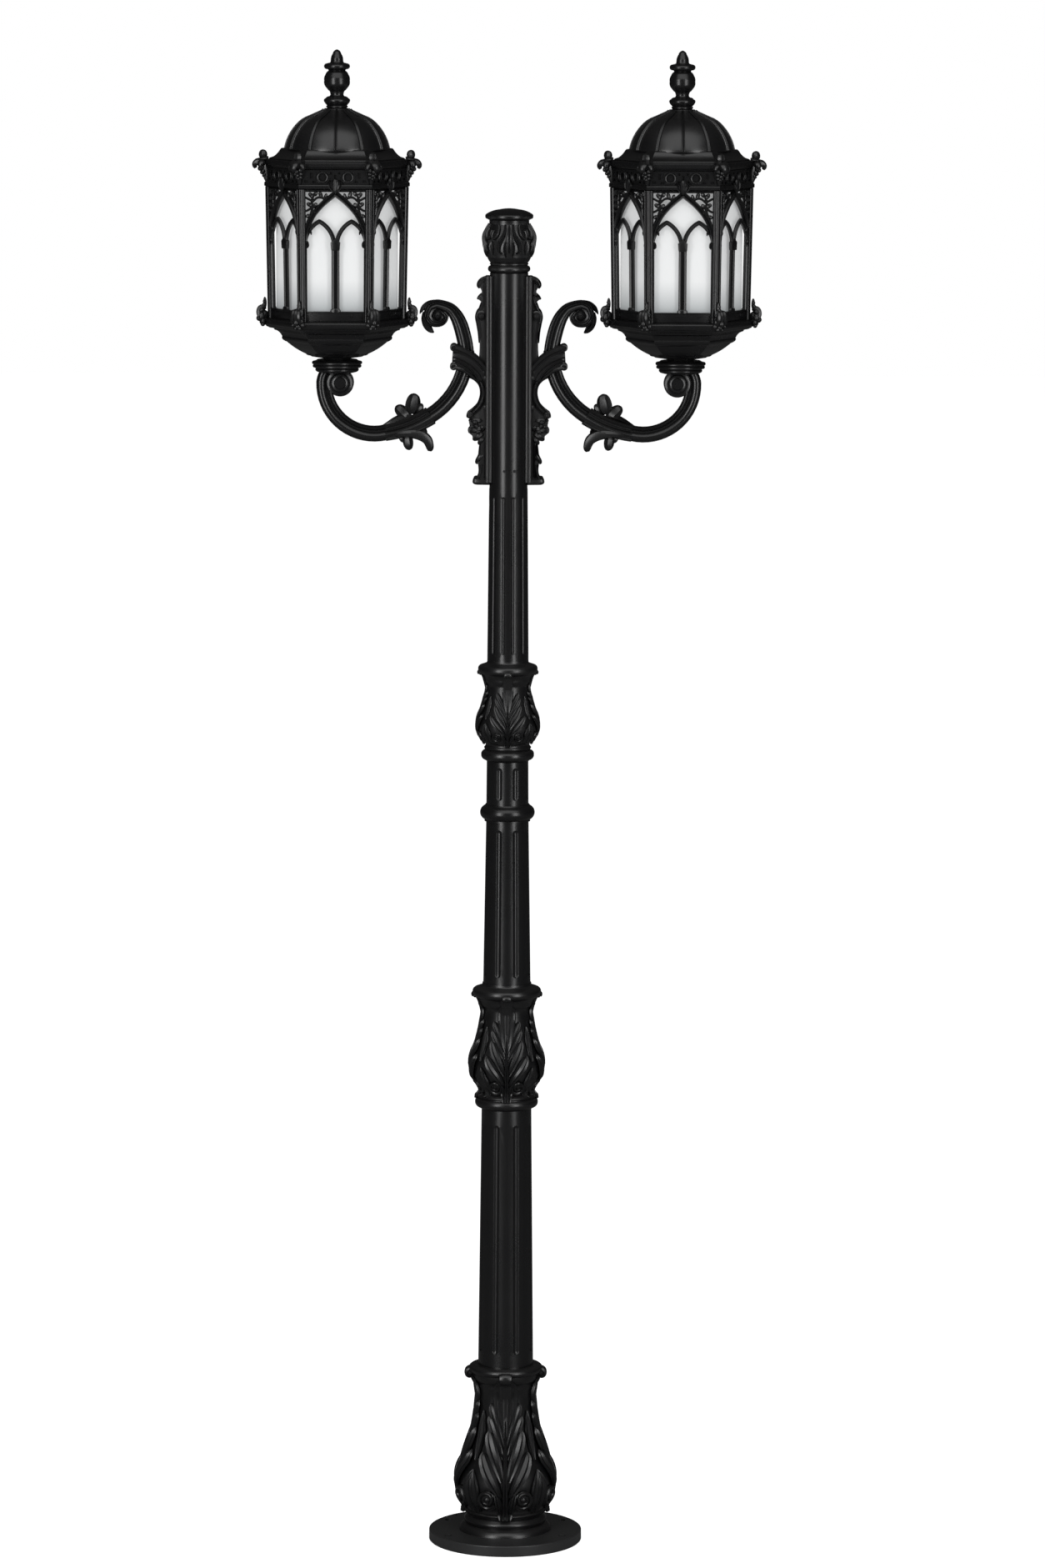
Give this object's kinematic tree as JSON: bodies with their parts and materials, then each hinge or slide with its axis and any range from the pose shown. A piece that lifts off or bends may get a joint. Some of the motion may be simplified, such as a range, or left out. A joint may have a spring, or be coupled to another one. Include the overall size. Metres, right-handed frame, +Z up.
{
  "type": "garden lamp post",
  "caption": "Fluted cast garden lamp post on a round bolt-down base, with scrolled arms carrying hexagonal tracery lanterns with domed lift-off roofs.",
  "frame": {"origin": "centre of the base plate's underside, on the post's axis", "axes": "+Z up along the post; the lanterns stand on -X and +X; the front faces -Y"},
  "size_m": [1.0156, 0.308, 2.9993],
  "materials": {
    "black_paint": "satin black paint on cast metal",
    "blackened_steel": "blackened screw heads",
    "zinc_steel": "zinc plated",
    "opal_acrylic": "frosted opal",
    "white_paint": "matt white paint",
    "white_porcelain": "glazed",
    "frosted_glass": "frosted",
    "nickel_cap": "bright"
  },
  "bodies": {
    "post": {"base_plate": "black_paint", "core_tube": "zinc_steel", "core_nut": "zinc_steel", "base_vase": "black_paint", "lower_leaf_collar": "black_paint", "middle_ring": "black_paint", "upper_leaf_collar": "black_paint", "lower_shaft": "black_paint", "middle_shaft": "black_paint", "short_shaft": "black_paint", "upper_shaft": "black_paint", "top_sleeve": "black_paint", "cap_urn": "black_paint", "cap_lid": "black_paint", "bracket_bolts": "blackened_steel", "fixing_screws": "blackened_steel", "left_arm": "black_paint", "left_arm_collar": "black_paint", "left_leaf_clasp": "black_paint", "left_bracket": "black_paint", "left_saddle": "black_paint", "left_nipple": "zinc_steel", "left_lock_nut": "zinc_steel", "left_bowl": "black_paint", "left_sill": "black_paint", "left_corner_posts": "black_paint", "left_tracery": "black_paint", "left_cornice": "black_paint", "left_lamp_tray": "white_paint", "left_diffuser": "opal_acrylic", "left_lamp_holder": "white_porcelain", "left_bridge_bar": "zinc_steel", "left_eave_crockets": "black_paint", "left_sill_crockets": "black_paint", "right_arm": "black_paint", "right_arm_collar": "black_paint", "right_leaf_clasp": "black_paint", "right_bracket": "black_paint", "right_saddle": "black_paint", "right_nipple": "zinc_steel", "right_lock_nut": "zinc_steel", "right_bowl": "black_paint", "right_sill": "black_paint", "right_corner_posts": "black_paint", "right_tracery": "black_paint", "right_cornice": "black_paint", "right_lamp_tray": "white_paint", "right_diffuser": "opal_acrylic", "right_lamp_holder": "white_porcelain", "right_bridge_bar": "zinc_steel", "right_eave_crockets": "black_paint", "right_sill_crockets": "black_paint"},
    "left_roof": {"left_roof": "black_paint"},
    "left_finial": {"left_finial": "black_paint"},
    "left_bulb": {"left_bulb": "frosted_glass", "left_bulb_cap": "nickel_cap"},
    "right_roof": {"right_roof": "black_paint"},
    "right_finial": {"right_finial": "black_paint"},
    "right_bulb": {"right_bulb": "frosted_glass", "right_bulb_cap": "nickel_cap"}
  },
  "joints": [
    {"name": "left_roof_lift", "type": "slide", "parent": "post", "child": "left_roof", "axis": [0, 0, 1], "range_m": [0, 0.25]},
    {"name": "left_finial_turn", "type": "hinge", "parent": "left_roof", "child": "left_finial", "pos_m": [-0.33962, 0, 2.89], "axis": [0, 0, 1], "range_deg": [0, 5760]},
    {"name": "left_bulb_turn", "type": "hinge", "parent": "post", "child": "left_bulb", "pos_m": [-0.33962, 0, 2.5], "axis": [0, 0, 1], "range_deg": [0, 1440]},
    {"name": "right_roof_lift", "type": "slide", "parent": "post", "child": "right_roof", "axis": [0, 0, 1], "range_m": [0, 0.25]},
    {"name": "right_finial_turn", "type": "hinge", "parent": "right_roof", "child": "right_finial", "pos_m": [0.33962, 0, 2.89], "axis": [0, 0, 1], "range_deg": [0, 5760]},
    {"name": "right_bulb_turn", "type": "hinge", "parent": "post", "child": "right_bulb", "pos_m": [0.33962, 0, 2.5], "axis": [0, 0, 1], "range_deg": [0, 1440]}
  ]
}
